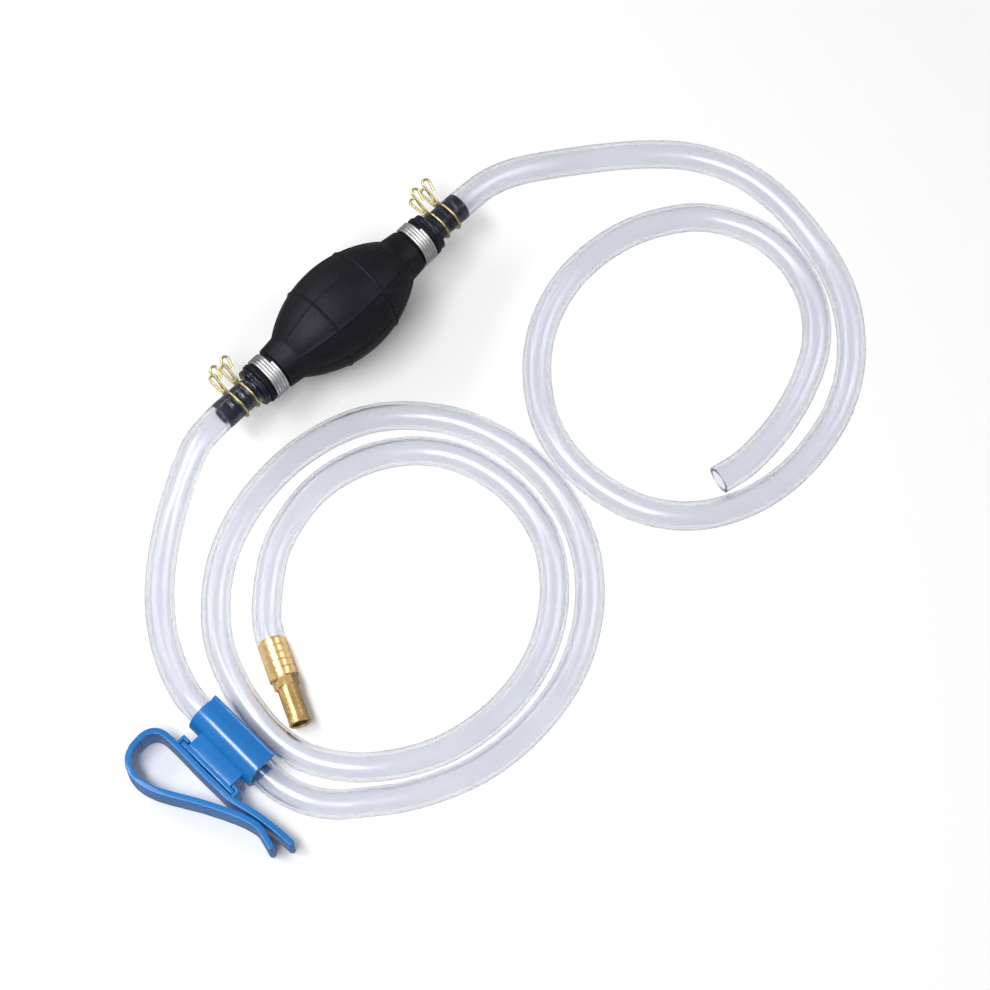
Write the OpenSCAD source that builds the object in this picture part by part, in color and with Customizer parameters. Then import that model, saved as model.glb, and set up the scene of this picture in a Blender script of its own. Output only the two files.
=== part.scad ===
// Gravel vacuum siphon: a squeeze bulb with a check valve in each end, two clear hoses,
// a brass hose connector and a spring clip that hangs the hose on the rim of a tank.
// Millimetres. X runs along the bulb, from inlet (-X) to outlet (+X). Z is up, and z = 0 is
// the surface that everything lies on. The origin is under the middle of the bulb.

/* [Bulb] */
// Largest diameter of the bulb
bulb_d = 49; // [40:0.5:50]
// Radius of the arc that the bulb's outline follows
bulb_arc_r = 60; // [50:1:66]
// Distance from the middle of the bulb to the start of its neck
neck_from = 36.2; // [33:0.2:38]
// Diameter of the bulb's neck where it leaves the bulb
neck_d = 24.6; // [22:0.2:30]
// Length of the neck
neck_len = 8.6; // [5:0.1:12]
// Thickness of the bulb's wall
bulb_wall = 3; // [2:0.1:3.6]
// Distance of each rib round the bulb from its middle
rib_at = 15; // [8:0.5:22]
// Height of the ribs round the bulb
rib_h = 0.7; // [0.3:0.1:1.2]
// Number of fine lines along the bulb
line_count = 8; // [4:1:12]
// Height of the fine lines along the bulb
line_h = 0.45; // [0.2:0.05:0.8]

/* [Wound ring] */
// Diameter of the silver wire
ring_wire_d = 1.5; // [1:0.1:2]
// Number of turns in each wound ring
ring_turns = 5; // [3:1:6]

/* [Valve housing] */
// Outer diameter of the sleeve that sits in the neck
sleeve_d = 16.4; // [15.4:0.2:17]
// Length of the sleeve inside the neck
sleeve_len = 26; // [25:0.5:28]
// Bore of the valve chamber in the sleeve
chamber_d = 13.2; // [12.4:0.2:13.6]
// Length of the valve chamber
chamber_len = 19.5; // [18:0.5:21]
// Diameter of the collar
collar_d = 20.4; // [18:0.2:22]
// Thickness of the collar
collar_len = 2.8; // [2:0.2:5]
// Length of the barbed spigot
spigot_len = 20.7; // [18:0.1:26]
// Diameter over the barbs
barb_d = 10.6; // [10.2:0.1:11]
// Diameter of the water passage through the spigot
passage_d = 6.8; // [5:0.2:7.4]
// Number of barbs on each spigot
barb_count = 4; // [3:1:5]

/* [Valves] */
// Diameter of each poppet's disc
disc_d = 10.4; // [9.6:0.1:11]
// Thickness of each poppet's disc
disc_t = 1.6; // [1:0.1:2]
// Diameter of each poppet's stem
stem_d = 2.8; // [2.2:0.1:3.2]
// How far each poppet opens
lift = 2.5; // [1.5:0.1:3]
// Wire diameter of the valve springs
spring_wire_d = 0.5; // [0.4:0.1:0.7]
// Number of coils in each valve spring
spring_turns = 5; // [4:1:6]

/* [Hose] */
// Outer diameter of the hoses
hose_od = 14; // [11.6:0.2:14]
// Bore of the hoses
hose_id = 10; // [8:0.1:10]
// Gap between the collar and the cut end of a hose
hose_gap = 0.4; // [0.2:0.1:2]

/* [Wire hose clips] */
// Wire diameter of the hose clips
clip_wire_d = 1.3; // [0.9:0.1:1.5]
// Distance from the cut end of a hose to its first wire clip
clip_from = 3.8; // [2.5:0.1:5]
// Distance between the two wire clips on a hose end
clip_pitch = 7.3; // [6.8:0.1:10]
// Length of the finger loops of a wire clip
ear_len = 12.4; // [8:0.2:14]
// Width of a finger loop between wire centres
ear_w = 3.6; // [2.6:0.1:4]

/* [Brass connector] */
// Length of the barbed end inside the hose
tail_len = 20; // [15:0.5:22]
// Diameter over the connector's barbs
tail_d = 10.4; // [10:0.1:11]
// Size of the hexagon across its flats
hex_af = 10.8; // [10.6:0.1:13]
// Length of the hexagon
hex_len = 5; // [2:0.1:6]
// Diameter of the free end
nose_d = 10; // [9:0.1:10.4]
// Length of the free end
nose_len = 18.6; // [14:0.1:22]
// Bore of the connector
brass_bore_d = 8; // [6:0.1:8.4]

/* [Hose holder] */
// Length of the sleeve that holds the hose
holder_len = 40; // [38:0.5:42]
// Wall of the sleeve
holder_wall = 2.3; // [1.6:0.1:2.6]
// Half the angle of the mouth
mouth_half = 44; // [34:1:50]
// Distance from the hose's axis to the sliding foot's outer face
foot_reach = 18.4; // [16:0.2:22]
// Length of the sliding foot along the hose
foot_len = 34.4; // [30:0.2:36]
// Thickness of the sliding foot
foot_t = 2.3; // [1.6:0.1:2.8]

/* [Tank clip] */
// Height of the strip that the clip is made of
strip_h = 14.5; // [12:0.5:18]
// Thickness of the strip
strip_t = 3; // [2.4:0.1:3.4]
// How far each hook reaches over the sliding foot
hook_over = 2.6; // [1.6:0.1:3.2]
// Thickness of the hooks
hook_t = 1.6; // [1.2:0.1:2]

/* [Hidden] */
$fn = 64;

// Sides of the bulb's pump line: the inlet faces -X and the outlet faces +X
INLET = -1;
OUTLET = 1;

// Clearances
run_gap = 0.06;      // a stem in its guide
press_gap = 0.02;    // a part pressed into the sleeve
ring_clear = 0.1;    // a wound ring round the neck
slide_gap = 0.25;    // the foot in the hooks
hose_clear = 0.1;    // the hose in its holder
clip_clear = 0.2;    // a wire clip round the hose
split_gap = 0.04;    // between the two halves of the clip's bend
floor_gap = 0.1;     // under the holder

// Stations along the bulb's axis, measured from its middle outwards
bulb_r = bulb_d / 2;
neck_r = neck_d / 2;
sleeve_r = sleeve_d / 2;
neck_to = neck_from + neck_len;
neck_taper = 0.9;    // how much narrower in radius the neck is at its end
neck_slope = 0.6;    // length of the step down from the neck to the band
band_r = sleeve_r + 1.5;
ring_from = neck_to + neck_slope + 0.2;
ring_pitch = ring_wire_d + 0.03;
ring_wound = ring_turns - 0.5;
ring_to = ring_from + ring_wound * ring_pitch + ring_wire_d;
lip_gap = 0.2;
lip_r = 10.9;
lip_len = 2.4;
lip_from = ring_to + lip_gap;
lip_to = lip_from + lip_len;
collar_from = lip_to + 0.2;
collar_to = collar_from + collar_len;
sleeve_from = collar_from - sleeve_len;
seat_at = sleeve_from + chamber_len;
spigot_to = collar_to + spigot_len;
cut_at = collar_to + hose_gap;

// The bulb's axis stands over the surface on the two lowest fine lines
line_turn = 8.4;
line_half = 1;
axis_z = (bulb_r + line_h) * cos(line_turn - line_half);

// Valves
stem_r = stem_d / 2;
hub_r = stem_r + 1.2;
guide_t = 3;
guide_from = sleeve_from + 3;
guide_ring = 1.2;
spoke_w = 1.4;
spoke_count = 3;
seat_web = 1.8;
seat_from = sleeve_from + 2.2;
seat_t = 3;
seat_hole_r = 3.6;
stem_extra = 2;

// Hose
hose_r = hose_od / 2;
hose_sides = 12;
ring_every = 26;
spline_steps = 8;

// Hose holder and tank clip: the held hose runs along -Y
hold_x = -185;
hold_from = -98;
holder_r = hose_r + hose_clear + holder_wall;
lip_t = 1.8;
lip_out = 2;
lip_floor_gap = 0.03;
// How far the lower lip reaches below the held hose's axis
lip_low = (holder_r + lip_out) * sin(mouth_half) + lip_t / 2 * (1 + cos(mouth_half));
hold_z = max(holder_r + floor_gap, lip_low + lip_floor_gap);
foot_x = hold_x - foot_reach;
foot_y = hold_from - 4.4;
foot_top = 14;
foot_bottom = 0.4;
neck_short = hook_over + 0.5;
hook_x = foot_x + foot_t + slide_gap;
split_x = -216;
bend_y = -87.3;

// Brass connector: where the hose ends and which way the connector points
brass_at = [-146.4, -111.6];
brass_turn = -115.2;
hose_straight = 21;
// Bare end of the outlet hose
bare_at = [70, -186];
bare_turn = 170.5;
bare_len = 18;

// Routes of the two hoses: x, y and the height of the hose's underside.
// First leg of the inlet hose, from the spigot to the hose holder
INLET_TO_HOLDER = [[-97, -1, 15], [-111, -6, 10], [-127, -14, 4], [-142, -24, 1],
    [-156, -36, 0], [-168, -50, 0], [-177, -65, 0], [-183, -81, 1]];
// Second leg, from the hose holder round two turns to the brass connector
HOLDER_TO_BRASS = [[-184, -150, 2], [-180, -161, 1], [-173, -171, 0], [-163, -180, 0],
    [-142, -195, 0], [-113, -207, 0], [-81, -210, 0], [-49, -204, 0], [-21, -188, 0],
    [0, -164, 0], [11, -134, 0], [11, -101, 0], [-1, -70, 0], [-26, -45, 0],
    [-60, -34, 0], [-97, -36, 0], [-130, -50, 0], [-156, -77, 0], [-168, -112, 0],
    [-167, -143, 0], [-150, -169, 0], [-120, -188, 0], [-86, -194, 0], [-54, -188, 0],
    [-27, -171, 0], [-9, -146, 0], [-4, -115, 0], [-13, -84, 0], [-36, -62, 0],
    [-68, -53, 0], [-101, -60, 0], [-126, -78, 0]];
// The outlet hose, from the spigot to its bare end
OUTLET_TO_END = [[98, 0, 15], [113, -3, 11], [128, -9, 6], [143, -17, 2], [158, -27, 0],
    [173, -40, 0], [187, -56, 0], [197, -77, 0], [200, -101, 0], [197, -125, 0],
    [190, -150, 0], [178, -171, 0], [160, -189, 0], [139, -201, 0], [116, -207, 0],
    [93, -208, 0], [70, -203, 0], [49, -191, 0], [34, -172, 0], [27, -149, 0],
    [27, -125, 0], [35, -102, 0], [52, -81, 0], [73, -67, 0], [98, -60, 0],
    [124, -61, 0], [147, -69, 0], [167, -84, 0], [179, -107, 0], [180, -130, 0],
    [172, -152, 0], [157, -169, 0], [137, -180, 0], [113, -187, 0]];

// Middle lines of the clip's two arms, from the split in the bend to the tips
BACK_ARM = [[split_x, bend_y], [-212, -87.4], [-208.2, -89.1], [-205.9, -92.4],
    [-205.3, -97], [-205.2, -102], [-205.3, -108], [-205.5, -115], [-205.5, -122],
    [-205.4, -130], [-205.2, -138], [-203.2, -146], [-201.5, -154], [-200.3, -164], [-199.8, -172.5]];
SPRING_ARM = [[split_x, bend_y], [-220.6, -88], [-225, -90.4], [-228, -94.5],
    [-229, -99.5], [-228.5, -104.8], [-226.3, -111.2], [-221.8, -119.4], [-216, -129.4],
    [-211, -139.3], [-207.8, -146.6], [-205.8, -152.6], [-205.1, -157], [-206, -161.5],
    [-207.6, -167.5]];

// ---- curves and sweeps ----

function unit(v) = v / norm(v);
function last(p) = p[len(p) - 1];

// One point of a smooth curve through b and c, with a before them and d after
function bow(a, b, c, d, t) = ((2 * b) + (c - a) * t + (2 * a - 5 * b + 4 * c - d) * t * t
    + (3 * b - a - 3 * c + d) * t * t * t) / 2;

// A smooth curve through the points, with steps pieces between each pair
function smooth(p, steps) =
    let (q = concat([2 * p[0] - p[1]], p, [2 * last(p) - p[len(p) - 2]]))
    concat([for (i = [1 : len(q) - 3], j = [0 : steps - 1])
        bow(q[i - 1], q[i], q[i + 1], q[i + 2], j / steps)], [last(p)]);

// The same curve with points a set distance apart
function even(p, pitch) =
    let (far = [for (i = 0, s = 0; i < len(p);
                    s = s + (i + 1 < len(p) ? norm(p[i + 1] - p[i]) : 0), i = i + 1) s],
         parts = ceil(last(far) / pitch),
         x = [for (i = [0 : len(p) - 1]) [far[i], p[i][0]]],
         y = [for (i = [0 : len(p) - 1]) [far[i], p[i][1]]],
         z = [for (i = [0 : len(p) - 1]) [far[i], p[i][2]]])
    [for (k = [0 : parts]) let (s = last(far) * k / parts) [lookup(s, x), lookup(s, y), lookup(s, z)]];

function heading(p) = [for (i = [0 : len(p) - 1])
    unit(p[min(i + 1, len(p) - 1)] - p[max(i - 1, 0)])];
function square_to(n, t) = unit(n - (n * t) * t);
function sides_of(t, n) = [for (i = 0, m = square_to(n, t[0]); i < len(t);
    m = i + 1 < len(t) ? square_to(m, t[i + 1]) : m, i = i + 1) m];

// Rings of points round a path
function rings(p, r, sides, up) =
    let (t = heading(p), m = sides_of(t, up), half = 180 / sides)
    [for (i = [0 : len(p) - 1], j = [0 : sides - 1])
        p[i] + r * (cos(j * 360 / sides + half) * m[i] + sin(j * 360 / sides + half) * cross(t[i], m[i]))];

function skin(first, count, sides, inwards) = [for (i = [0 : count - 2], j = [0 : sides - 1])
    let (k = (j + 1) % sides, a = first + i * sides + j, b = first + i * sides + k,
         c = b + sides, d = a + sides)
    each inwards ? [[a, b, c], [a, c, d]] : [[a, c, b], [a, d, c]]];

// A round bar along a path
module bar(path, r, sides, up = [0, 0, 1]) {
    n = len(path);
    polyhedron(rings(path, r, sides, up),
        concat(skin(0, n, sides, false),
            [[for (j = [0 : sides - 1]) j]],
            [[for (j = [sides - 1 : -1 : 0]) (n - 1) * sides + j]]));
}

// A hollow tube along a path
module hose(path) {
    n = len(path);
    s = hose_sides;
    inner = n * s;
    far = (n - 1) * s;
    polyhedron(concat(rings(path, hose_r, s, [0, 0, 1]), rings(path, hose_id / 2, s, [0, 0, 1])),
        concat(skin(0, n, s, false), skin(inner, n, s, true),
            [for (j = [0 : s - 1]) let (k = (j + 1) % s) each
                [[j, k, inner + k], [j, inner + k, inner + j]]],
            [for (j = [0 : s - 1]) let (k = (j + 1) % s) each
                [[far + k, far + j, inner + far + j], [far + k, inner + far + j, inner + far + k]]]));
}

// A coil of wire along the Z axis
function coil(r, from, to, turns, steps) =
    [for (i = [0 : turns * steps]) let (a = i * 360 / steps)
        [r * cos(a), r * sin(a), from + (to - from) * i / (turns * steps)]];

// ---- placing ----

// Puts a part made along +Z from the bulb's middle onto one side of the pump line
module pump_side(side) {
    translate([0, 0, axis_z])
        rotate([0, side * 90, 0])
            children();
}

// ---- primer bulb ----

module bulb_outline(grow) {
    intersection() {
        translate([bulb_r - bulb_arc_r, 0])
            circle(bulb_arc_r + grow);
        translate([0, -neck_from])
            square([bulb_r + 2, 2 * neck_from]);
    }
}

module neck_outline() {
    polygon([[0, neck_from - 2], [neck_r - 0.6, neck_from - 2], [neck_r, neck_from],
        [neck_r - neck_taper, neck_to], [band_r, neck_to + neck_slope], [band_r, lip_from],
        [lip_r, lip_from], [lip_r, lip_to], [0, lip_to]]);
}

module cavity_outline() {
    cavity_to = neck_from - 2.7;
    intersection() {
        translate([bulb_r - bulb_arc_r, 0])
            circle(bulb_arc_r - bulb_wall);
        translate([0, -cavity_to])
            square([bulb_r, 2 * cavity_to]);
    }
    translate([0, -lip_to - 1])
        square([sleeve_r, 2 * lip_to + 2]);
}

module bulb_rib(at) {
    rib_w = 1;
    surface = bulb_r - bulb_arc_r + sqrt(bulb_arc_r * bulb_arc_r - at * at);
    translate([surface - 1, at - rib_w / 2])
        square([1 + rib_h, rib_w]);
}

module fine_line() {
    rotate([0, 0, -line_half])
        rotate_extrude(angle = 2 * line_half)
            difference() {
                bulb_outline(line_h);
                bulb_outline(-1);
            }
}

module primer_bulb() {
    color("#26262b")
        pump_side(OUTLET)
            difference() {
                union() {
                    rotate_extrude() {
                        bulb_outline(0);
                        neck_outline();
                        mirror([0, 1]) neck_outline();
                        bulb_rib(rib_at);
                        bulb_rib(-rib_at);
                    }
                    for (i = [0 : line_count - 1])
                        rotate([0, 0, 180 + line_turn + i * 360 / line_count])
                            fine_line();
                }
                rotate_extrude() cavity_outline();
            }
}

// ---- wound rings ----

module wound_ring() {
    color("#c9cccf")
        bar(coil(band_r + ring_clear + ring_wire_d / 2, ring_from + ring_wire_d / 2,
                ring_to - ring_wire_d / 2, ring_wound, 20),
            ring_wire_d / 2, 8);
}

// ---- valve housings ----

function barbs(count, from, to, root_r, tip_r) =
    let (pitch = (to - from) / count)
    [for (i = [0 : count - 1]) each
        [[root_r, from + i * pitch], [tip_r, from + (i + 0.12) * pitch],
         [tip_r, from + (i + 0.4) * pitch], [root_r + 0.1, from + (i + 1) * pitch]]];

module valve_housing() {
    root_r = barb_d / 2 - 0.6;
    land = 5;
    color("#1c2029")
        difference() {
            rotate_extrude()
                polygon(concat([[0, sleeve_from], [sleeve_r, sleeve_from],
                    [sleeve_r, collar_from], [collar_d / 2, collar_from],
                    [collar_d / 2, collar_to - 0.5], [collar_d / 2 - 0.5, collar_to],
                    [root_r, collar_to]],
                    barbs(barb_count, collar_to + 2, spigot_to - land, root_r, barb_d / 2),
                    [[barb_d / 2, spigot_to - land + 0.8], [barb_d / 2, spigot_to - 0.6],
                     [barb_d / 2 - 0.6, spigot_to], [0, spigot_to]]));
            translate([0, 0, sleeve_from - 1])
                cylinder(h = chamber_len + 1, d = chamber_d);
            cylinder(h = spigot_to + 1, d = passage_d);
        }
}

// ---- valves ----

module spokes(r, t) {
    for (i = [0 : spoke_count - 1])
        rotate([0, 0, i * 360 / spoke_count])
            translate([stem_r + 0.6, -spoke_w / 2, 0])
                cube([r - stem_r - 0.6, spoke_w, t]);
}

// Ring, hub and spokes that guide the inlet poppet's stem
module valve_guide() {
    ring_r = chamber_d / 2 - press_gap;
    color("#e8e8e2")
        translate([0, 0, guide_from])
            difference() {
                union() {
                    difference() {
                        cylinder(h = guide_t, r = ring_r);
                        translate([0, 0, -1]) cylinder(h = guide_t + 2, r = ring_r - guide_ring);
                    }
                    cylinder(h = guide_t, r = hub_r);
                    spokes(ring_r - guide_ring / 2, guide_t);
                }
                translate([0, 0, -1]) cylinder(h = guide_t + 2, r = stem_r + run_gap);
            }
}

// Pressed-in seat of the outlet valve, with a hub behind it for the stem
module valve_seat() {
    ring_r = chamber_d / 2 - press_gap;
    color("#e8e8e2")
        translate([0, 0, seat_from - seat_web])
            difference() {
                union() {
                    difference() {
                        cylinder(h = seat_web + seat_t, r = ring_r);
                        translate([0, 0, -1])
                            cylinder(h = seat_web + 1, r = ring_r - guide_ring);
                        cylinder(h = seat_web + seat_t + 1, r = seat_hole_r);
                    }
                    cylinder(h = seat_web, r = hub_r);
                    spokes(ring_r - guide_ring / 2, seat_web);
                }
                translate([0, 0, -1]) cylinder(h = seat_web + 2, r = stem_r + run_gap);
            }
}

// Disc at z = 0 to disc_t, stem down to -stem_len
module poppet(stem_len) {
    color("#f0efe8") {
        rotate_extrude()
            polygon([[0, 0], [disc_d / 2, 0], [disc_d / 2, disc_t - 0.4],
                [disc_d / 2 - 0.4, disc_t], [0, disc_t]]);
        translate([0, 0, -stem_len])
            cylinder(h = stem_len + 0.2, r = stem_r);
    }
}

// The inlet poppet shuts against the housing and opens towards the bulb
inlet_disc = seat_at - press_gap - disc_t;
module inlet_poppet() {
    translate([0, 0, inlet_disc])
        poppet(inlet_disc - guide_from + stem_extra);
}

// The outlet poppet shuts against the pressed-in seat and opens away from the bulb
outlet_disc = seat_from + seat_t + press_gap;
module outlet_poppet() {
    translate([0, 0, outlet_disc])
        poppet(outlet_disc - seat_from + seat_web + lift + stem_extra);
}

module valve_spring(r, from, to) {
    color("#b9bcc0")
        bar(coil(r, from + spring_wire_d / 2 + 0.05, to - spring_wire_d / 2 - 0.05, spring_turns, 12),
            spring_wire_d / 2, 6);
}

// ---- hoses ----

function raised(p) = [for (q = p) [q[0], q[1], q[2] + hose_r]];
function ahead(at, turn, far) = [at[0] + far * cos(turn), at[1] + far * sin(turn), hose_r];

// Straight over the spigot, then along the legs of the route
inlet_path = let (
        leave = [-spigot_to - 3, 0, axis_z],
        hold_a = [hold_x, hold_from + 3, hold_z],
        hold_b = [hold_x, hold_from - holder_len - 1, hold_z],
        tail = ahead(brass_at, brass_turn, -hose_straight),
        far_end = ahead(brass_at, brass_turn, 0),
        leg_a = smooth(concat([leave], raised(INLET_TO_HOLDER), [hold_a, hold_b]), spline_steps),
        leg_b = smooth(concat([hold_a, hold_b], raised(HOLDER_TO_BRASS), [tail, far_end]), spline_steps),
        cut_a = len(leg_a) - spline_steps - 1,
        cut_b = len(leg_b) - spline_steps - 1)
    concat([[-cut_at, 0, axis_z]],
        even([for (i = [0 : cut_a]) leg_a[i]], ring_every),
        even([for (i = [spline_steps : cut_b]) leg_b[i]], ring_every),
        [far_end]);

outlet_path = let (
        leave = [spigot_to + 3, 0, axis_z],
        straight = ahead(bare_at, bare_turn, -bare_len),
        far_end = ahead(bare_at, bare_turn, 0),
        leg = smooth(concat([leave], raised(OUTLET_TO_END), [straight, far_end]), spline_steps),
        cut = len(leg) - spline_steps - 1)
    concat([[cut_at, 0, axis_z]], even([for (i = [0 : cut]) leg[i]], ring_every));

module inlet_hose() {
    color("#d9dbe6", 0.5)
        hose(inlet_path);
}

// The last stretch is a true round tube, because things are pushed into it
module outlet_hose() {
    color("#d9dbe6", 0.5) {
        hose(outlet_path);
        translate(ahead(bare_at, bare_turn, -bare_len))
            rotate([0, 90, bare_turn])
                difference() {
                    cylinder(h = bare_len, d = hose_od);
                    translate([0, 0, -1]) cylinder(h = bare_len + 2, d = hose_id);
                }
    }
}

// ---- wire hose clips ----

// A finger loop: out along d, round towards +X, and back inwards to short of the ring
function ear(root, d, back) =
    let (out = unit(d), w = ear_w / 2, run = ear_len - w, narrow = 0.3)
    concat([for (s = [0.15, 0.5, 1]) root + out * run * s],
        [for (a = [150, 120, 90, 60, 30]) root + out * run + [w + w * cos(a), 0, 0] + out * w * sin(a)],
        [for (s = [1, 0.75, back]) root + [ear_w * (narrow + (1 - narrow) * s), 0, 0] + out * run * s]);

module wire_clip(at) {
    r = hose_r + clip_clear + clip_wire_d / 2;
    side_step = clip_wire_d + 0.15;
    from = -4;
    to = 370;
    ring = [for (a = [from : 17 : to]) [side_step * (a - from) / (to - from), r * cos(a), r * sin(a)]];
    low = ear([0, r + 0.6, r * sin(from) - 0.5], [0.75, 11.7, -2.8], 0.2);
    high = ear([side_step, r * cos(to) + 0.6, r * sin(to) + 0.5], [0, 12, 5.6], 0.5);
    color("#b8a24a")
        translate([at, 0, axis_z])
            bar(concat([for (i = [len(low) - 1 : -1 : 0]) low[i]], ring, high),
                clip_wire_d / 2, 8, [1, 0, 0]);
}

clip_inner = cut_at + clip_from;
clip_outer = clip_inner + clip_pitch;

// ---- brass connector ----

module brass_connector() {
    root_r = tail_d / 2 - 0.6;
    flare_r = nose_d / 2 + 0.3;
    flare_len = 1.8;
    tip = hex_len + nose_len;
    color("#c9a04e")
        translate(ahead(brass_at, brass_turn, 0))
            rotate([0, 90, brass_turn])
                difference() {
                    union() {
                        rotate_extrude()
                            polygon(concat([[0, -tail_len]],
                                [for (p = barbs(5, 0, tail_len - 1, root_r, tail_d / 2))
                                    [p[0], p[1] - tail_len]],
                                [[root_r, 0.5], [0, 0.5]]));
                        rotate([0, 0, 30])
                            cylinder(h = hex_len, d = hex_af / cos(30), $fn = 6);
                        rotate_extrude()
                            polygon([[0, hex_len - 0.5], [nose_d / 2, hex_len - 0.5],
                                [nose_d / 2, tip - flare_len], [flare_r, tip - flare_len / 2],
                                [flare_r, tip - 0.4], [flare_r - 0.4, tip], [0, tip]]);
                    }
                    translate([0, 0, -tail_len - 1])
                        cylinder(h = tail_len + tip + 2, d = brass_bore_d);
                }
}

// ---- hose holder ----

// Cross-section of the sleeve, open towards +X, with each lip turned out
module holder_section() {
    reach = 2 * holder_r;
    difference() {
        circle(holder_r);
        circle(hose_r + hose_clear);
        polygon([[0, 0], [reach * cos(mouth_half), reach * sin(mouth_half)], [reach, 0],
            [reach * cos(mouth_half), -reach * sin(mouth_half)]]);
    }
    for (side = [-1, 1])
        rotate(side * mouth_half)
            translate([holder_r - holder_wall / 2, side * lip_t / 2 - lip_t / 2]) {
                square([lip_out + holder_wall / 2, lip_t]);
                translate([lip_out + holder_wall / 2, lip_t / 2]) circle(lip_t / 2 - 0.02);
            }
}

module hose_holder() {
    neck_x = foot_x + foot_t - 0.1;
    neck_to_x = hold_x - hose_r - hose_clear - 0.5;
    color("#3f97d8") {
        translate([hold_x, hold_from, hold_z])
            rotate([90, 0, 0])
                linear_extrude(holder_len)
                    holder_section();
        translate([neck_x, foot_y - foot_len + neck_short, foot_bottom])
            cube([neck_to_x - neck_x, foot_len - 2 * neck_short, foot_top - foot_bottom]);
        translate([foot_x, foot_y - foot_len, foot_bottom])
            cube([foot_t, foot_len, foot_top - foot_bottom]);
    }
}

// ---- tank clip ----

function side_points(p, half) = let (t = heading(p))
    [for (i = [0 : len(p) - 1]) p[i] + half * [-t[i][1], t[i][0]]];
function backwards(p) = [for (i = [len(p) - 1 : -1 : 0]) p[i]];

// Plan of a strip along a line, with a rounded tip. It starts in the bend, at a straight
// face across the strip, and side says on which side of that face it lies.
module strip_plan(line, side) {
    p = smooth(concat([[split_x - side * strip_t, bend_y]], line), 3);
    half = strip_t / 2;
    t = last(heading(p));
    tip = [for (a = [75, 60, 45, 30, 15, 0, -15, -30, -45, -60, -75])
        last(p) + half * (cos(a) * t + sin(a) * [-t[1], t[0]])];
    reach = 4 * strip_t;
    difference() {
        polygon(concat(side_points(p, half), tip, backwards(side_points(p, -half))));
        translate([split_x + side * (split_gap / 2 - reach / 2), bend_y])
            square([reach, reach], center = true);
    }
}

// One hook: stands on the arm and turns over the end of the foot
module hook_plan(towards) {
    root_x = foot_x - 1.2;
    lip_to_x = hook_x + hook_t;
    translate([root_x, 0])
        mirror([0, towards < 0 ? 1 : 0])
            polygon([[0, -slide_gap - hook_t], [lip_to_x - root_x, -slide_gap - hook_t],
                [lip_to_x - root_x, hook_over], [hook_x - root_x, hook_over],
                [hook_x - root_x, -slide_gap], [0, -slide_gap]]);
}

module clip_back_arm() {
    color("#4aa5e6")
        union() {
            linear_extrude(strip_h) strip_plan(BACK_ARM, 1);
            translate([0, foot_y, 0]) linear_extrude(strip_h) hook_plan(-1);
            translate([0, foot_y - foot_len, 0]) linear_extrude(strip_h) hook_plan(1);
        }
}

module clip_spring_arm() {
    color("#55aeea")
        linear_extrude(strip_h)
            strip_plan(SPRING_ARM, -1);
}

primer_bulb();
pump_side(INLET) valve_housing();  // inlet_valve_housing
pump_side(OUTLET) valve_housing();  // outlet_valve_housing
pump_side(INLET) wound_ring();  // inlet_wound_ring
pump_side(OUTLET) wound_ring();  // outlet_wound_ring
pump_side(INLET) valve_guide();  // inlet_valve_guide
pump_side(INLET) inlet_poppet();  // inlet_valve_poppet
pump_side(INLET) valve_spring(stem_r + 1.1, guide_from + guide_t, inlet_disc);  // inlet_valve_spring
pump_side(OUTLET) valve_seat();  // outlet_valve_seat
pump_side(OUTLET) outlet_poppet();  // outlet_valve_poppet
pump_side(OUTLET) valve_spring(passage_d / 2 + 1, outlet_disc + disc_t, seat_at);  // outlet_valve_spring
inlet_hose();
outlet_hose();
wire_clip(-clip_inner);  // inlet_wire_clip_inner
wire_clip(-clip_outer);  // inlet_wire_clip_outer
wire_clip(clip_inner);  // outlet_wire_clip_inner
wire_clip(clip_outer);  // outlet_wire_clip_outer
brass_connector();
hose_holder();
clip_back_arm();
clip_spring_arm();
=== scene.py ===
import math

import bmesh
import bpy
import numpy as np
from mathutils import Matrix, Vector


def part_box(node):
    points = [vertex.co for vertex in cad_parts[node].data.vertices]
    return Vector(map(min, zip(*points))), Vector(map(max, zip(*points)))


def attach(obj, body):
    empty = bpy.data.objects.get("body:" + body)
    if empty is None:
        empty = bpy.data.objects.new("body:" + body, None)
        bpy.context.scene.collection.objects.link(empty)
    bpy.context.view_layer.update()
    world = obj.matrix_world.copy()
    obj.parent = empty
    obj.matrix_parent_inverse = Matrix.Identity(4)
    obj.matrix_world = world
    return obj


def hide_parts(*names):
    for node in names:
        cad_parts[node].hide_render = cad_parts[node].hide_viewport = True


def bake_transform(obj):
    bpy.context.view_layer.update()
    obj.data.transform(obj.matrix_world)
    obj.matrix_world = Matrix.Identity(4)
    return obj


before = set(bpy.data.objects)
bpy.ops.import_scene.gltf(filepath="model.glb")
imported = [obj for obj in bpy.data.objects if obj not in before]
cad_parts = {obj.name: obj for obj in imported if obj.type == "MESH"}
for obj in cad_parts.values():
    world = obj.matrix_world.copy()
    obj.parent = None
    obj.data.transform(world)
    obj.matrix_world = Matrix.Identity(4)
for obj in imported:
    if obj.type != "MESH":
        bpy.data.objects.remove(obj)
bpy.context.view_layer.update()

MM = 0.001

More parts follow.
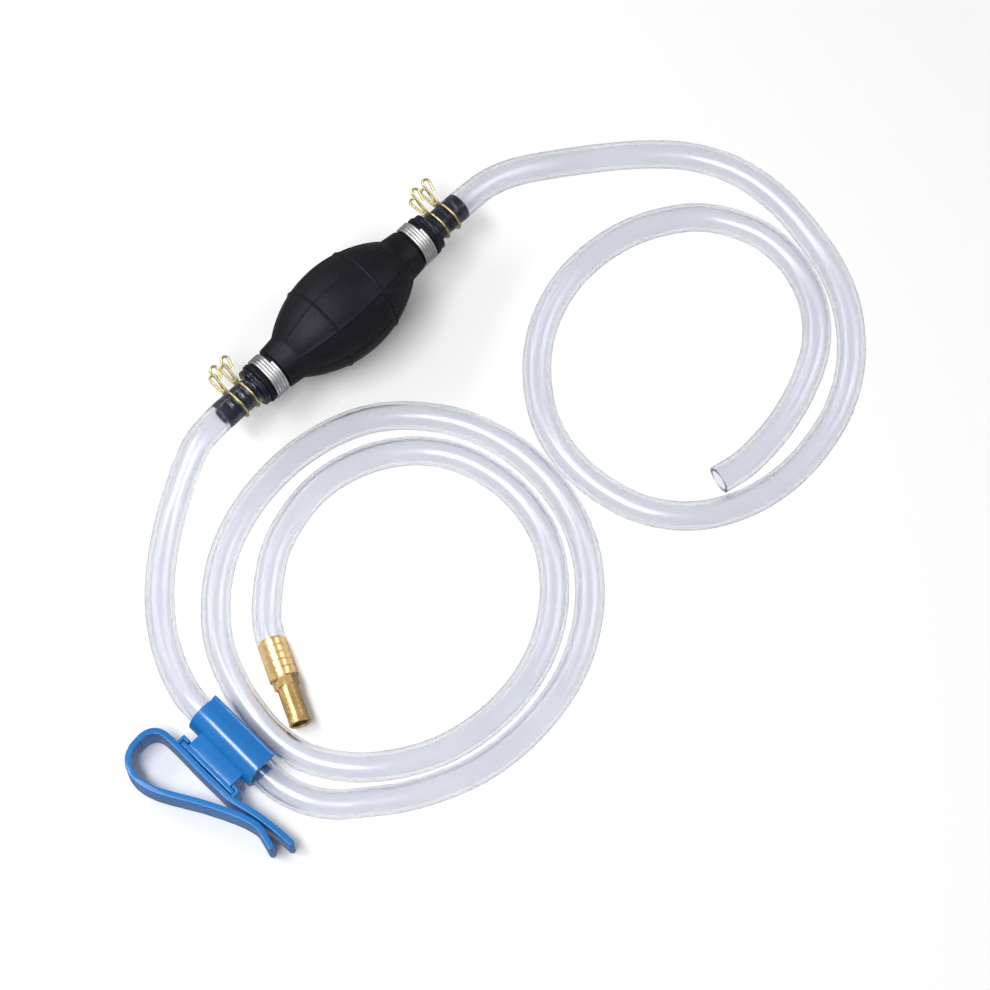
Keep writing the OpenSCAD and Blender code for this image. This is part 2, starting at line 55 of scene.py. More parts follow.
# ---------------------------------------------------------------------------
# Sizes in millimetres, as the construction has them
# ---------------------------------------------------------------------------
AXIS_Z = 0.5 * (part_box("primer_bulb")[0].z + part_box("primer_bulb")[1].z) / MM
HOSE_R, HOSE_BORE_R = 7.0, 5.0
BULB_R, BULB_ARC = 24.5, 60.0
NECK_FROM, NECK_TO, NECK_R = 36.2, 44.8, 12.3
SLEEVE_R, BAND_R = 8.2, 9.7
RING_FROM, RING_TO = 45.6, 53.985
LIP_FROM, LIP_TO, LIP_R = 54.185, 56.585, 10.9
COLLAR_FROM, COLLAR_TO, COLLAR_R = 56.785, 59.585, 10.2
SLEEVE_FROM, SEAT_AT, SPIGOT_TO = 30.785, 50.285, 80.285
CUT_AT = 59.985
WIRE_CLIP_AT = (63.785, 71.085)

HOLD_X, HOLD_FROM, HOLD_LEN, HOLD_Z = -185.0, -98.0, 40.0, 9.5
HOLDER_R = 9.4
FOOT_X, FOOT_T, FOOT_Y, FOOT_LEN = -203.4, 2.3, -102.4, 34.4
FOOT_LOW, FOOT_TOP = 0.4, 14.0
HOOK_OVER, HOOK_T, SLIDE_GAP = 2.6, 1.6, 0.25
STRIP_T, STRIP_H = 3.0, 14.5
SPLIT_X, BEND_Y = -216.0, -87.3

BRASS_AT, BRASS_TURN = (-146.4, -111.6), -115.2
TAIL_LEN, BARB_ROOT, BARB_TIP, BRASS_BORE = 20.0, 4.6, 5.2, 4.0
HEX_AF, HEX_LEN, NOSE_LEN, NOSE_R = 10.8, 5.0, 18.6, 5.0
BARE_AT, BARE_TURN = (70.0, -186.0), 170.5

# Straight runs: past a spigot's tip, before and after the holder, over the brass tail, to the bare end
SPIGOT_RUN, HOLD_RUN_IN, HOLD_RUN_OUT, TAIL_RUN, BARE_RUN = 3.0, 3.0, 1.0, 21.0, 18.0

# The routes of the two hoses: x, y and the height of the underside
INLET_TO_HOLDER = [(-97, -1, 15), (-111, -6, 10), (-127, -14, 4), (-142, -24, 1),
    (-156, -36, 0), (-168, -50, 0), (-177, -65, 0), (-183, -81, 1)]
HOLDER_TO_BRASS = [(-184, -150, 2), (-180, -161, 1), (-173, -171, 0), (-163, -180, 0),
    (-142, -195, 0), (-113, -207, 0), (-81, -210, 0), (-49, -204, 0), (-21, -188, 0),
    (0, -164, 0), (11, -134, 0), (11, -101, 0), (-1, -70, 0), (-26, -45, 0),
    (-60, -34, 0), (-97, -36, 0), (-130, -50, 0), (-156, -77, 0), (-168, -112, 0),
    (-167, -143, 0), (-150, -169, 0), (-120, -188, 0), (-86, -194, 0), (-54, -188, 0),
    (-27, -171, 0), (-9, -146, 0), (-4, -115, 0), (-13, -84, 0), (-36, -62, 0),
    (-68, -53, 0), (-101, -60, 0), (-126, -78, 0)]
OUTLET_TO_END = [(98, 0, 15), (113, -3, 11), (128, -9, 6), (143, -17, 2), (158, -27, 0),
    (173, -40, 0), (187, -56, 0), (197, -77, 0), (200, -101, 0), (197, -125, 0),
    (190, -150, 0), (178, -171, 0), (160, -189, 0), (139, -201, 0), (116, -207, 0),
    (93, -208, 0), (70, -203, 0), (49, -191, 0), (34, -172, 0), (27, -149, 0),
    (27, -125, 0), (35, -102, 0), (52, -81, 0), (73, -67, 0), (98, -60, 0),
    (124, -61, 0), (147, -69, 0), (167, -84, 0), (179, -107, 0), (180, -130, 0),
    (172, -152, 0), (157, -169, 0), (137, -180, 0), (113, -187, 0)]

BACK_ARM = [(SPLIT_X, BEND_Y), (-212, -87.4), (-208.2, -89.1), (-205.9, -92.4),
    (-205.3, -97), (-205.2, -102), (-205.3, -108), (-205.5, -115), (-205.5, -122),
    (-205.4, -130), (-205.2, -138), (-203.2, -146), (-201.5, -154), (-200.3, -164), (-199.8, -172.5)]
SPRING_ARM = [(SPLIT_X, BEND_Y), (-220.6, -88), (-225, -90.4), (-228, -94.5),
    (-229, -99.5), (-228.5, -104.8), (-226.3, -111.2), (-221.8, -119.4), (-216, -129.4),
    (-211, -139.3), (-207.8, -146.6), (-205.8, -152.6), (-205.1, -157), (-206, -161.5),
    (-207.6, -167.5)]


# ---------------------------------------------------------------------------
# Lines
# ---------------------------------------------------------------------------
def smooth_line(points, steps):
    """A smooth curve through the points, the same one that the construction uses."""
    p = [np.array(q, float) for q in points]
    p = [2 * p[0] - p[1]] + p + [2 * p[-1] - p[-2]]
    out = []
    for a, b, c, d in zip(p, p[1:], p[2:], p[3:]):
        for j in range(steps):
            t = j / steps
            out.append((2 * b + (c - a) * t + (2 * a - 5 * b + 4 * c - d) * t * t
                        + (3 * b - a - 3 * c + d) * t ** 3) / 2)
    return np.array(out + [p[-2]])


def distances(line):
    return np.r_[0, np.cumsum(np.linalg.norm(np.diff(line, axis=0), axis=1))]


def even_line(line, pitch):
    """The same line with points a set distance apart."""
    far = distances(line)
    at = np.linspace(0, far[-1], int(math.ceil(far[-1] / pitch)) + 1)
    return np.stack([np.interp(at, far, line[:, k]) for k in range(line.shape[1])], 1)


def directions(line):
    d = np.gradient(line, axis=0)
    return d / np.linalg.norm(d, axis=1)[:, None]


def rounded(outline, radius, steps=3):
    """A closed outline with its corners rounded."""
    n, out = len(outline), []
    p = [np.array(q, float) for q in outline]
    for i in range(n):
        before, here, after = p[i - 1], p[i], p[(i + 1) % n]
        a, b = before - here, after - here
        la, lb = np.linalg.norm(a), np.linalg.norm(b)
        turn = math.degrees(math.acos(np.clip(-(a @ b) / (la * lb), -1, 1)))
        if turn < 12:
            out.append(here)
            continue
        cut = min(radius, 0.4 * la, 0.4 * lb)
        start, end = here + a / la * cut, here + b / lb * cut
        for j in range(steps + 1):
            t = j / steps
            out.append((1 - t) ** 2 * start + 2 * t * (1 - t) * here + t * t * end)
    return out


# ---------------------------------------------------------------------------
# Making meshes
# ---------------------------------------------------------------------------
SHARP_DEG = 40
WIRE_SIDES = 14


def new_piece(name, verts, faces, sharp=35):
    mesh = bpy.data.meshes.new(name)
    mesh.from_pydata([tuple(v) for v in verts], [], faces)
    mesh.validate()
    tidy = bmesh.new()
    tidy.from_mesh(mesh)
    bmesh.ops.remove_doubles(tidy, verts=tidy.verts, dist=1e-7)
    bmesh.ops.recalc_face_normals(tidy, faces=tidy.faces)
    tidy.to_mesh(mesh)
    tidy.free()
    mesh.shade_smooth()
    mesh.set_sharp_from_angle(angle=math.radians(sharp))
    piece = bpy.data.objects.new(name, mesh)
    bpy.context.scene.collection.objects.link(piece)
    return piece


def baked(piece):
    """Turns a piece and its modifiers into a plain mesh."""
    graph = bpy.context.evaluated_depsgraph_get()
    mesh = bpy.data.meshes.new_from_object(piece.evaluated_get(graph))
    name = piece.name
    made = bpy.data.objects.new(name, mesh)
    bpy.context.scene.collection.objects.link(made)
    bpy.data.objects.remove(piece)
    made.name = name
    return made


def grid_faces(rings, sides, closed_rings, closed_sides=True):
    faces = []
    for i in range(rings if closed_rings else rings - 1):
        for j in range(sides if closed_sides else sides - 1):
            a, b = i * sides + j, i * sides + (j + 1) % sides
            k = ((i + 1) % rings) * sides
            faces.append((a, b, k + (j + 1) % sides, k + j))
    return faces


def turned(name, outline, place, sides=96, shape=None, sharp=35):
    """A turned part: a closed outline of (along, radius) taken round an axis.
    place maps (along, across, up) in millimetres to the row frame, and shape may change
    a radius by its angle."""
    verts = []
    for along, radius in outline:
        for j in range(sides):
            t = 2 * math.pi * j / sides
            r = shape(along, radius, t) if shape else radius
            verts.append(place(along, r * math.sin(t), r * math.cos(t)))
    return new_piece(name, verts, grid_faces(len(outline), sides, True), sharp)


def on_pump(side):
    return lambda a, y, z: Vector((side * a, y, AXIS_Z + z)) * MM


def ahead(at, turn, far):
    """A point on the axis of a hose that lies on the floor, some way from its end."""
    t = math.radians(turn)
    return np.array((at[0] + far * math.cos(t), at[1] + far * math.sin(t), HOSE_R))


def on_brass(a, y, z):
    t = math.radians(BRASS_TURN)
    return Vector((BRASS_AT[0] + a * math.cos(t) - y * math.sin(t),
                   BRASS_AT[1] + a * math.sin(t) + y * math.cos(t), HOSE_R + z)) * MM


def slab(name, outline, low, high, place, bevel=0.45):
    """A flat shape of even thickness with eased rims."""
    n = len(outline)
    verts = [place(q[0], q[1], z) for z in (low, high) for q in outline]
    faces = [tuple(range(n)), tuple(range(2 * n - 1, n - 1, -1))]
    faces += [(j, (j + 1) % n, n + (j + 1) % n, n + j) for j in range(n)]
    piece = new_piece(name, verts, faces)
    ease = piece.modifiers.new("eased rims", "BEVEL")
    ease.width = bevel * MM
    ease.segments = 3
    ease.limit_method = "ANGLE"
    ease.angle_limit = math.radians(50)
    ease.use_clamp_overlap = True
    piece = baked(piece)
    piece.data.shade_smooth()
    piece.data.set_sharp_from_angle(angle=math.radians(SHARP_DEG))
    return piece


def joined(name, parts):
    """Several closed shells as one piece."""
    verts, faces, at = [], [], 0
    for part in parts:
        verts += [v.co.copy() for v in part.data.vertices]
        faces += [tuple(at + k for k in f.vertices) for f in part.data.polygons]
        at += len(part.data.vertices)
        bpy.data.objects.remove(part)
    mesh = bpy.data.meshes.new(name)
    mesh.from_pydata(verts, [], faces)
    mesh.shade_smooth()
    mesh.set_sharp_from_angle(angle=math.radians(SHARP_DEG))
    piece = bpy.data.objects.new(name, mesh)
    bpy.context.scene.collection.objects.link(piece)
    return piece


# ---------------------------------------------------------------------------
# Camera
# ---------------------------------------------------------------------------
LOOK_AT = Vector((-9.4, -113.6, 0.0)) * MM
STAND_AT = Vector((-406.5, -511.1, 1390.8)) * MM
SENSOR_MM = 36.0
LENS_MM = 113.4545
camera_data = bpy.data.cameras.new("camera")
camera_data.sensor_width = SENSOR_MM
camera_data.lens = LENS_MM
camera_data.clip_start = 0.05
camera_data.clip_end = 50.0
camera = bpy.data.objects.new("camera", camera_data)
camera.location = STAND_AT
camera.rotation_euler = (LOOK_AT - STAND_AT).to_track_quat("-Z", "Y").to_euler()
bpy.context.scene.collection.objects.link(camera)
bpy.context.scene.camera = camera


# ---------------------------------------------------------------------------
# Hoses
# ---------------------------------------------------------------------------
SPLINE_STEPS = 8
HOSE_SIDES = 52
HOSE_PITCH = 2.2


def lifted(route):
    return [(x, y, z + HOSE_R) for x, y, z in route]


def inlet_line():
    leave = (-SPIGOT_TO - SPIGOT_RUN, 0, AXIS_Z)
    hold_a = (HOLD_X, HOLD_FROM + HOLD_RUN_IN, HOLD_Z)
    hold_b = (HOLD_X, HOLD_FROM - HOLD_LEN - HOLD_RUN_OUT, HOLD_Z)
    tail, far_end = ahead(BRASS_AT, BRASS_TURN, -TAIL_RUN), ahead(BRASS_AT, BRASS_TURN, 0)
    leg_a = smooth_line([leave] + lifted(INLET_TO_HOLDER) + [hold_a, hold_b], SPLINE_STEPS)
    leg_b = smooth_line([hold_a, hold_b] + lifted(HOLDER_TO_BRASS) + [tail, far_end], SPLINE_STEPS)
    return np.vstack([[(-CUT_AT, 0, AXIS_Z)], leg_a[:-SPLINE_STEPS],
                      leg_b[SPLINE_STEPS:-SPLINE_STEPS], [far_end]])


def outlet_line():
    leave = (SPIGOT_TO + SPIGOT_RUN, 0, AXIS_Z)
    straight, far_end = ahead(BARE_AT, BARE_TURN, -BARE_RUN), ahead(BARE_AT, BARE_TURN, 0)
    leg = smooth_line([leave] + lifted(OUTLET_TO_END) + [straight, far_end], SPLINE_STEPS)
    return np.vstack([[(CUT_AT, 0, AXIS_Z)], leg])


def stretch(at, length, brass_end):
    """How the outside and the bore of the hose change, in millimetres, along its way. It swells over
    a barbed end, hugs it, and is nipped under the wire clips."""
    over_spigot, hug, fade = SPIGOT_TO - CUT_AT, -0.45, 5
    swell, tail_swell, spigot_bore_swell, tail_bore_swell = 0.12, 0.14, 0.25, 0.2
    tip_back, tip_half, nip, nip_half = 2.3, 2.0, 0.08, 1.2
    covered = np.clip(1 - (at - over_spigot) / fade, 0, 1)
    outer = swell * covered + swell * np.exp(-((at - over_spigot + tip_back) / tip_half) ** 2)
    for clip in WIRE_CLIP_AT:
        outer = outer - nip * np.exp(-((at - (clip - CUT_AT)) / nip_half) ** 2)
    inner = np.where(at < over_spigot, hug, spigot_bore_swell * covered)
    if brass_end:
        back = length - at
        covered = np.clip(1 - (back - TAIL_LEN) / fade, 0, 1)
        outer = outer + tail_swell * covered
        inner = np.where(back < TAIL_LEN, hug, inner + tail_bore_swell * covered)
    return outer, inner


def hose(name, line, brass_end):
    """A hollow hose with a smooth wall."""
    line = even_line(line, HOSE_PITCH)
    at = distances(line)
    tangent = directions(line)
    outer, inner = stretch(at, at[-1], brass_end)
    side = np.cross(tangent, (0, 0, 1))
    side /= np.linalg.norm(side, axis=1)[:, None]
    up = np.cross(side, tangent)
    outer_r = HOSE_R + outer
    inner_r = HOSE_BORE_R + inner
    stations = range(len(line))
    loop = [(i, outer_r[i]) for i in stations] + [(i, inner_r[i]) for i in reversed(stations)]
    verts = []
    for i, r in loop:
        for j in range(HOSE_SIDES):
            t = 2 * math.pi * j / HOSE_SIDES
            reach = math.cos(t) * up[i] + math.sin(t) * side[i]
            verts.append(Vector((line[i] + r * reach) * MM))
    faces = grid_faces(len(loop), HOSE_SIDES, True)
    piece = new_piece(name, verts, faces, sharp=50)
    return piece, line * MM, at[-1] * MM


inlet_hose, inlet_path, inlet_length = hose("inlet_hose_clear", inlet_line(), True)
outlet_hose, outlet_path, outlet_length = hose("outlet_hose_clear", outlet_line(), False)
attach(inlet_hose, "siphon")
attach(outlet_hose, "siphon")
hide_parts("inlet_hose")
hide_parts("outlet_hose")
for piece in (inlet_hose, outlet_hose):
    piece.visible_shadow = False
    piece.visible_diffuse = False


# ---------------------------------------------------------------------------
# Wire parts: one tree winds a coil and one follows a bent line
# ---------------------------------------------------------------------------
def add_input(tree, name, kind, value=None):
    item = tree.interface.new_socket(name=name, in_out="INPUT", socket_type=kind)
    if value is not None:
        item.default_value = value


def set_input(modifier, name, value):
    for item in modifier.node_group.interface.items_tree:
        if item.item_type == "SOCKET" and item.in_out == "INPUT" and item.name == name:
            modifier[item.identifier] = value
            return
    raise KeyError(name)


def coil_tree():
    tree = bpy.data.node_groups.new("coil of wire", "GeometryNodeTree")
    tree.interface.new_socket(name="Geometry", in_out="OUTPUT", socket_type="NodeSocketGeometry")
    add_input(tree, "Turns", "NodeSocketFloat", 4.5)
    add_input(tree, "Coil Radius", "NodeSocketFloat", 0.01)
    add_input(tree, "Travel", "NodeSocketFloat", 0.007)
    add_input(tree, "Wire Radius", "NodeSocketFloat", 0.0007)
    add_input(tree, "Waver", "NodeSocketFloat", 0.0)
    add_input(tree, "Place", "NodeSocketVector")
    add_input(tree, "Turned", "NodeSocketVector")
    add_input(tree, "Material", "NodeSocketMaterial")
    n, link = tree.nodes, tree.links.new
    given, out = n.new("NodeGroupInput"), n.new("NodeGroupOutput")
    spiral = n.new("GeometryNodeCurveSpiral")
    spiral.inputs["Resolution"].default_value = 48
    link(given.outputs["Turns"], spiral.inputs["Rotations"])
    link(given.outputs["Coil Radius"], spiral.inputs["Start Radius"])
    link(given.outputs["Coil Radius"], spiral.inputs["End Radius"])
    link(given.outputs["Travel"], spiral.inputs["Height"])
    waver = n.new("ShaderNodeTexNoise")
    waver.noise_dimensions = "3D"
    waver.inputs["Scale"].default_value = 160.0
    waver.inputs["Detail"].default_value = 1.0
    centre = n.new("ShaderNodeVectorMath")
    centre.operation = "SUBTRACT"
    centre.inputs[1].default_value = (0.5, 0.5, 0.5)
    link(waver.outputs["Color"], centre.inputs[0])
    scaled = n.new("ShaderNodeVectorMath")
    scaled.operation = "SCALE"
    link(centre.outputs[0], scaled.inputs[0])
    link(given.outputs["Waver"], scaled.inputs["Scale"])
    shaken = n.new("GeometryNodeSetPosition")
    link(spiral.outputs["Curve"], shaken.inputs["Geometry"])
    link(scaled.outputs[0], shaken.inputs["Offset"])
    section = n.new("GeometryNodeCurvePrimitiveCircle")
    section.inputs["Resolution"].default_value = WIRE_SIDES
    link(given.outputs["Wire Radius"], section.inputs["Radius"])
    swept = n.new("GeometryNodeCurveToMesh")
    swept.inputs["Fill Caps"].default_value = True
    link(shaken.outputs["Geometry"], swept.inputs["Curve"])
    link(section.outputs["Curve"], swept.inputs["Profile Curve"])
    placed = n.new("GeometryNodeTransform")
    link(swept.outputs["Mesh"], placed.inputs["Geometry"])
    link(given.outputs["Place"], placed.inputs["Translation"])
    link(given.outputs["Turned"], placed.inputs["Rotation"])
    finish_tree(tree, placed.outputs["Geometry"], given, out)
    return tree


def finish_tree(tree, geometry, given, out):
    n, link = tree.nodes, tree.links.new
    smooth = n.new("GeometryNodeSetShadeSmooth")
    link(geometry, smooth.inputs["Geometry"])
    whole = n.new("GeometryNodeRealizeInstances")
    link(smooth.outputs["Geometry"], whole.inputs["Geometry"])
    painted = n.new("GeometryNodeSetMaterial")
    link(whole.outputs["Geometry"], painted.inputs["Geometry"])
    link(given.outputs["Material"], painted.inputs["Material"])
    link(painted.outputs["Geometry"], out.inputs["Geometry"])


def bent_wire_tree():
    tree = bpy.data.node_groups.new("bent wire", "GeometryNodeTree")
    tree.interface.new_socket(name="Geometry", in_out="OUTPUT", socket_type="NodeSocketGeometry")
    tree.interface.new_socket(name="Geometry", in_out="INPUT", socket_type="NodeSocketGeometry")
    add_input(tree, "Wire Radius", "NodeSocketFloat", 0.00065)
    add_input(tree, "Material", "NodeSocketMaterial")
    n, link = tree.nodes, tree.links.new
    given, out = n.new("NodeGroupInput"), n.new("NodeGroupOutput")
    section = n.new("GeometryNodeCurvePrimitiveCircle")
    section.inputs["Resolution"].default_value = WIRE_SIDES
    link(given.outputs["Wire Radius"], section.inputs["Radius"])
    line = n.new("GeometryNodeMeshToCurve")
    link(given.outputs["Geometry"], line.inputs["Mesh"])
    swept = n.new("GeometryNodeCurveToMesh")
    swept.inputs["Fill Caps"].default_value = True
    link(line.outputs["Curve"], swept.inputs["Curve"])
    link(section.outputs["Curve"], swept.inputs["Profile Curve"])
    finish_tree(tree, swept.outputs["Mesh"], given, out)
    return tree


COIL_TREE = coil_tree()
BENT_WIRE_TREE = bent_wire_tree()


def grown(name, tree, verts, edges, **inputs):
    """A piece made by a tree, as a plain mesh."""
    mesh = bpy.data.meshes.new(name)
    mesh.from_pydata(verts, edges, [])
    piece = bpy.data.objects.new(name, mesh)
    bpy.context.scene.collection.objects.link(piece)
    maker = piece.modifiers.new("maker", "NODES")
    maker.node_group = tree
    for key, value in inputs.items():
        set_input(maker, key.replace("_", " "), value)
    piece = baked(piece)
    tidy = bmesh.new()
    tidy.from_mesh(piece.data)
    bmesh.ops.recalc_face_normals(tidy, faces=tidy.faces)
    tidy.to_mesh(piece.data)
    tidy.free()
    piece.data.shade_smooth()
    piece.data.set_sharp_from_angle(angle=math.radians(SHARP_DEG))
    return piece


# ---------------------------------------------------------------------------
# Finishes
# ---------------------------------------------------------------------------
def shader_group(name, inputs, outputs):
    group = bpy.data.node_groups.new(name, "ShaderNodeTree")
    for label, kind, value in inputs:
        add_input(group, label, kind, value)
    for label, kind in outputs:
        group.interface.new_socket(name=label, in_out="OUTPUT", socket_type=kind)
    return group, group.nodes.new("NodeGroupInput"), group.nodes.new("NodeGroupOutput")


def speckle_group():
    """Fine grain and slow blotches over a surface: a height, and a colour and a roughness
    that drift between two values."""
    group, given, out = shader_group("grain and drift", [
        ("Grain Scale", "NodeSocketFloat", 900.0),
        ("Drift Scale", "NodeSocketFloat", 30.0),
        ("Colour A", "NodeSocketColor", (0.5, 0.5, 0.5, 1)),
        ("Colour B", "NodeSocketColor", (0.5, 0.5, 0.5, 1)),
        ("Rough Low", "NodeSocketFloat", 0.3),
        ("Rough High", "NodeSocketFloat", 0.4),
    ], [("Color", "NodeSocketColor"), ("Roughness", "NodeSocketFloat"), ("Height", "NodeSocketFloat")])
    n, link = group.nodes, group.links.new
    place = n.new("ShaderNodeTexCoord")
    grain, drift = n.new("ShaderNodeTexNoise"), n.new("ShaderNodeTexNoise")
    grain.inputs["Detail"].default_value = 4.0
    drift.inputs["Detail"].default_value = 3.0
    for node, scale in ((grain, "Grain Scale"), (drift, "Drift Scale")):
        link(place.outputs["Object"], node.inputs["Vector"])
        link(given.outputs[scale], node.inputs["Scale"])
    spread = n.new("ShaderNodeMapRange")
    spread.inputs["From Min"].default_value = 0.35
    spread.inputs["From Max"].default_value = 0.65
    link(drift.outputs["Fac"], spread.inputs["Value"])
    colour = n.new("ShaderNodeMix")
    colour.data_type = "RGBA"
    link(spread.outputs["Result"], colour.inputs[0])
    link(given.outputs["Colour A"], colour.inputs[6])
    link(given.outputs["Colour B"], colour.inputs[7])
    link(colour.outputs[2], out.inputs["Color"])
    rough = n.new("ShaderNodeMix")
    rough.data_type = "FLOAT"
    link(spread.outputs["Result"], rough.inputs[0])
    link(given.outputs["Rough Low"], rough.inputs[2])
    link(given.outputs["Rough High"], rough.inputs[3])
    link(rough.outputs[0], out.inputs["Roughness"])
    link(grain.outputs["Fac"], out.inputs["Height"])
    return group


GRAIN = speckle_group()


def finish(name, colour_a, colour_b, rough, grain=900.0, drift=30.0, bump=0.05, depth=0.00005, **constants):
    """A finish with grain, slow colour drift and uneven gloss. Constants go on the shader itself."""
    material = bpy.data.materials.new(name)
    material.use_nodes = True
    nodes, link = material.node_tree.nodes, material.node_tree.links.new
    shader = nodes["Principled BSDF"]
    look = nodes.new("ShaderNodeGroup")
    look.node_tree = GRAIN
    look.inputs["Grain Scale"].default_value = grain
    look.inputs["Drift Scale"].default_value = drift
    look.inputs["Colour A"].default_value = (*colour_a, 1)
    look.inputs["Colour B"].default_value = (*colour_b, 1)
    look.inputs["Rough Low"].default_value = rough[0]
    look.inputs["Rough High"].default_value = rough[1]
    raised = nodes.new("ShaderNodeBump")
    raised.inputs["Strength"].default_value = bump
    raised.inputs["Distance"].default_value = depth
    link(look.outputs["Color"], shader.inputs["Base Color"])
    link(look.outputs["Roughness"], shader.inputs["Roughness"])
    link(look.outputs["Height"], raised.inputs["Height"])
    link(raised.outputs["Normal"], shader.inputs["Normal"])
    for key, value in constants.items():
        shader.inputs[key.replace("_", " ")].default_value = value
    return material


def clear_hose_finish():
    """Clear flexible hose: a true see-through wall with a faint lavender tint and soft ripples."""
    return finish("clear hose", (0.825, 0.84, 0.885), (0.8, 0.815, 0.865), (0.19, 0.25),
                  grain=120.0, drift=24.0, bump=0.01, depth=0.0002, IOR=1.4, Transmission_Weight=1.0)


RUBBER = finish("charcoal rubber", (0.0042, 0.004, 0.0066), (0.0065, 0.0063, 0.0098), (0.38, 0.5),
                grain=1500.0, drift=45.0, bump=0.9, depth=0.00025, Specular_IOR_Level=0.27,
                Specular_Tint=(0.84, 0.83, 1.0, 1.0))
NYLON = finish("blue-black nylon", (0.002, 0.004, 0.013), (0.004, 0.007, 0.022), (0.2, 0.26),
               grain=500.0, bump=0.01, Specular_IOR_Level=0.6)
SILVER = finish("drawn bright wire", (0.66, 0.67, 0.67), (0.82, 0.83, 0.83), (0.32, 0.4),
                grain=700.0, drift=200.0, bump=0.05, Metallic=1.0)
ZINC = finish("yellow zinc wire", (0.68, 0.62, 0.2), (0.78, 0.6, 0.34), (0.22, 0.34),
              grain=700.0, drift=320.0, bump=0.08, Metallic=1.0)
BRASS = finish("polished brass", (0.95, 0.6, 0.2), (1.0, 0.7, 0.32), (0.24, 0.3),
               grain=600.0, drift=60.0, bump=0.02, Metallic=1.0)
BLUE = finish("sky-blue plastic", (0.006, 0.155, 0.47), (0.014, 0.195, 0.56), (0.2, 0.3),
              grain=500.0, drift=25.0, bump=0.05, Coat_Weight=0.5, Coat_Roughness=0.16)
VALVE_WHITE = finish("natural valve plastic", (0.78, 0.78, 0.74), (0.72, 0.72, 0.68), (0.4, 0.5), bump=0.05)
SPRING_STEEL = finish("valve spring steel", (0.6, 0.61, 0.63), (0.7, 0.71, 0.72), (0.2, 0.3), Metallic=1.0)
HOSE = clear_hose_finish()


def dress(piece, material, body="siphon", replaces=()):
    piece.data.materials.clear()
    piece.data.materials.append(material)
    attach(piece, body)
    if replaces:
        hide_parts(*replaces)
    return piece


def flexing(piece, material, node):
    """Gives a piece that bends or shortens its finish, bakes its placement into its mesh and hides the part
    it replaces; nothing here makes it bend.
    """
    piece.data.materials.clear()
    piece.data.materials.append(material)
    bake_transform(piece)
    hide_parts(node)


for piece in (inlet_hose, outlet_hose):
    piece.data.materials.append(HOSE)

# ---------------------------------------------------------------------------
# Squeeze bulb
# ---------------------------------------------------------------------------
LINE_TURN = 8.4
LINE_COUNT = 8
LINE_PITCH = 360 / LINE_COUNT
BULB_WALL = 3.0
ARROW_TURN = -14.1
# The arrow's shaft and head: where each starts and ends along the bulb, and its half width there
ARROW = [(-9.0, -1.5, 1.0, 1.0), (-1.5, 5.0, 2.9, 0.15)]
ARROW_LIFT = 0.3


def bulb_surface(a):
    return BULB_R - BULB_ARC + math.sqrt(BULB_ARC ** 2 - a * a)


def bump_shape(off, half):
    return math.cos(math.pi * off / (2 * half)) ** 2 if abs(off) < half else 0.0


def bulb():
    """The hollow bulb with two ribs round it, fine lines along it and a neck at each end."""
    rib_at, rib_h, rib_half = 15.0, 0.62, 0.8
    line_h, line_half, fade_len, least_fade = 0.3, 0.95, 2.5, 0.25
    neck_drop, neck_taper, neck_slope = 0.3, 0.9, 0.6
    arc = sorted(set(list(np.linspace(-NECK_FROM, NECK_FROM, 73))
                     + [s * rib_at + d for s in (-1, 1) for d in np.linspace(-rib_half, rib_half, 11)]))
    ribs = [max(bump_shape(a - rib_at, rib_half), bump_shape(a + rib_at, rib_half)) for a in arc]
    outer = [(a, bulb_surface(a) + rib_h * rib) for a, rib in zip(arc, ribs)]
    neck = rounded([(NECK_FROM - 1, NECK_R - neck_drop), (NECK_TO, NECK_R - neck_taper),
                    (NECK_TO + neck_slope, BAND_R), (LIP_FROM, BAND_R), (LIP_FROM, LIP_R), (LIP_TO, LIP_R),
                    (LIP_TO, SLEEVE_R), (NECK_FROM - 2.7, SLEEVE_R)], 0.5)
    right = [(a, r) for a, r in neck if a > NECK_FROM + 0.1 or r < SLEEVE_R + 0.1]
    left = [(-a, r) for a, r in reversed(right)]
    inside_to = NECK_FROM - 3.2
    inside = np.linspace(inside_to, -inside_to, 31)
    inner = [(a, max(bulb_surface(a) - BULB_WALL, SLEEVE_R)) for a in inside]
    outline = outer + right + inner + left
    angles = []
    for i in range(LINE_COUNT):
        middle = LINE_TURN + i * LINE_PITCH
        angles += [middle + d for d in np.linspace(-line_half, line_half, 9)]
        angles += [middle + d for d in np.linspace(line_half, LINE_PITCH - line_half, 11)[1:-1]]
    verts = []
    for index, (a, r) in enumerate(outline):
        fade = max(min(1.0, (NECK_FROM - abs(a)) / fade_len + least_fade), 0)
        for t in angles:
            off = (t - LINE_TURN + LINE_PITCH / 2) % LINE_PITCH - LINE_PITCH / 2
            raised = r
            if index < len(outer):
                raised = max(r, bulb_surface(a) + line_h * fade * bump_shape(off, line_half))
            c, s = math.cos(math.radians(t)), math.sin(math.radians(t))
            verts.append(Vector((a, raised * s, AXIS_Z + raised * c)) * MM)
    return new_piece("squeeze_bulb", verts, grid_faces(len(outline), len(angles), True), sharp=50)


def on_bulb(a, around, lift):
    """A point on the bulb's skin: along the bulb, and round it in millimetres from a panel's middle."""
    r = bulb_surface(a) + lift
    t = math.radians(ARROW_TURN) + around / BULB_R
    return Vector((a, r * math.sin(t), AXIS_Z + r * math.cos(t))) * MM


